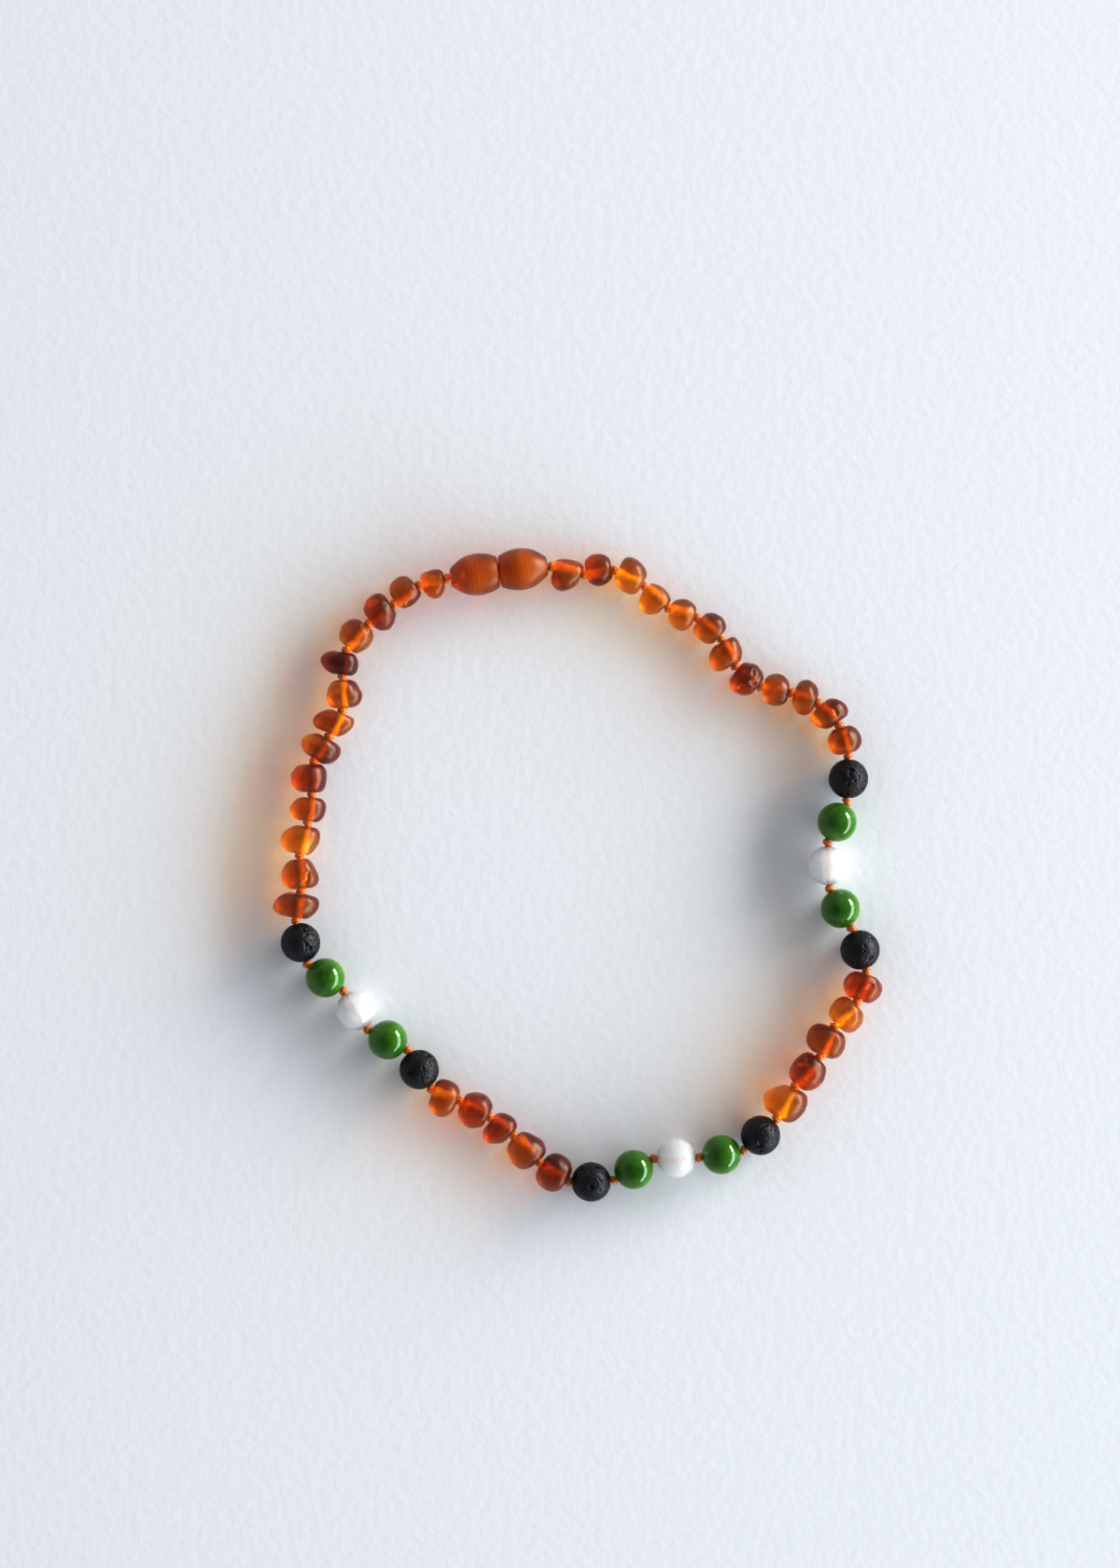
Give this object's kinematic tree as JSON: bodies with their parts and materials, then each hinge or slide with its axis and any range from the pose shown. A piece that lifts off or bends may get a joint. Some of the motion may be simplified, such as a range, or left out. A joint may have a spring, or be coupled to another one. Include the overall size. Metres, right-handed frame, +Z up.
{
  "type": "beaded necklace",
  "caption": "Short necklace laid in a closed loop: tumbled amber nuggets and round lava, jade and quartz stones, knotted on thread, with a barrel screw clasp.",
  "frame": {"origin": "middle of the loop's bounding box, on the floor that the beads rest on", "axes": "+Z up from the floor; +Y towards the clasp's side of the loop, its longest way; +X to the right as seen from above with the clasp at the far side"},
  "size_m": [0.0928, 0.0994, 0.0064],
  "materials": {
    "amber_honey": "translucent fossil resin, tumbled to a satin skin, honey yellow",
    "amber_cognac": "translucent fossil resin, tumbled to a satin skin, cognac orange",
    "amber_cherry": "dark translucent fossil resin, tumbled to a satin skin, cherry red-brown",
    "lava": "matt black volcanic stone with open pores",
    "jade": "polished green stone, slightly translucent",
    "quartz": "polished milky translucent stone",
    "clasp_resin": "moulded amber-coloured resin, satin and slightly translucent",
    "waxed_thread": "waxed orange two-strand twisted thread, knotted"
  },
  "bodies": {
    "root": {"bead_01_amber_cognac": "amber_cognac", "bead_02_amber_cherry": "amber_cherry", "bead_03_amber_honey": "amber_honey", "bead_04_amber_honey": "amber_honey", "bead_05_amber_honey": "amber_honey", "bead_06_amber_cognac": "amber_cognac", "bead_07_amber_cognac": "amber_cognac", "bead_08_amber_cherry": "amber_cherry", "bead_09_amber_cognac": "amber_cognac", "bead_10_amber_cognac": "amber_cognac", "bead_11_amber_cognac": "amber_cognac", "bead_12_amber_cognac": "amber_cognac", "bead_13_lava": "lava", "bead_14_jade": "jade", "bead_15_quartz": "quartz", "bead_16_jade": "jade", "bead_17_lava": "lava", "bead_18_amber_cherry": "amber_cherry", "bead_19_amber_honey": "amber_honey", "bead_20_amber_cognac": "amber_cognac", "bead_21_amber_cherry": "amber_cherry", "bead_22_amber_honey": "amber_honey", "bead_23_lava": "lava", "bead_24_jade": "jade", "bead_25_quartz": "quartz", "bead_26_jade": "jade", "bead_27_lava": "lava", "bead_28_amber_cherry": "amber_cherry", "bead_29_amber_cognac": "amber_cognac", "bead_30_amber_cherry": "amber_cherry", "bead_31_amber_cherry": "amber_cherry", "bead_32_amber_cognac": "amber_cognac", "bead_33_lava": "lava", "bead_34_jade": "jade", "bead_35_quartz": "quartz", "bead_36_jade": "jade", "bead_37_lava": "lava", "bead_38_amber_cognac": "amber_cognac", "bead_39_amber_cognac": "amber_cognac", "bead_40_amber_honey": "amber_honey", "bead_41_amber_cognac": "amber_cognac", "bead_42_amber_cherry": "amber_cherry", "bead_43_amber_cognac": "amber_cognac", "bead_44_amber_cognac": "amber_cognac", "bead_45_amber_cognac": "amber_cognac", "bead_46_amber_cherry": "amber_cherry", "bead_47_amber_honey": "amber_honey", "bead_48_amber_cherry": "amber_cherry", "bead_49_amber_cognac": "amber_cognac", "bead_50_amber_cognac": "amber_cognac", "clasp_screw_half": "clasp_resin", "clasp_socket_half": "clasp_resin", "thread": "waxed_thread"}
  },
  "joints": []
}
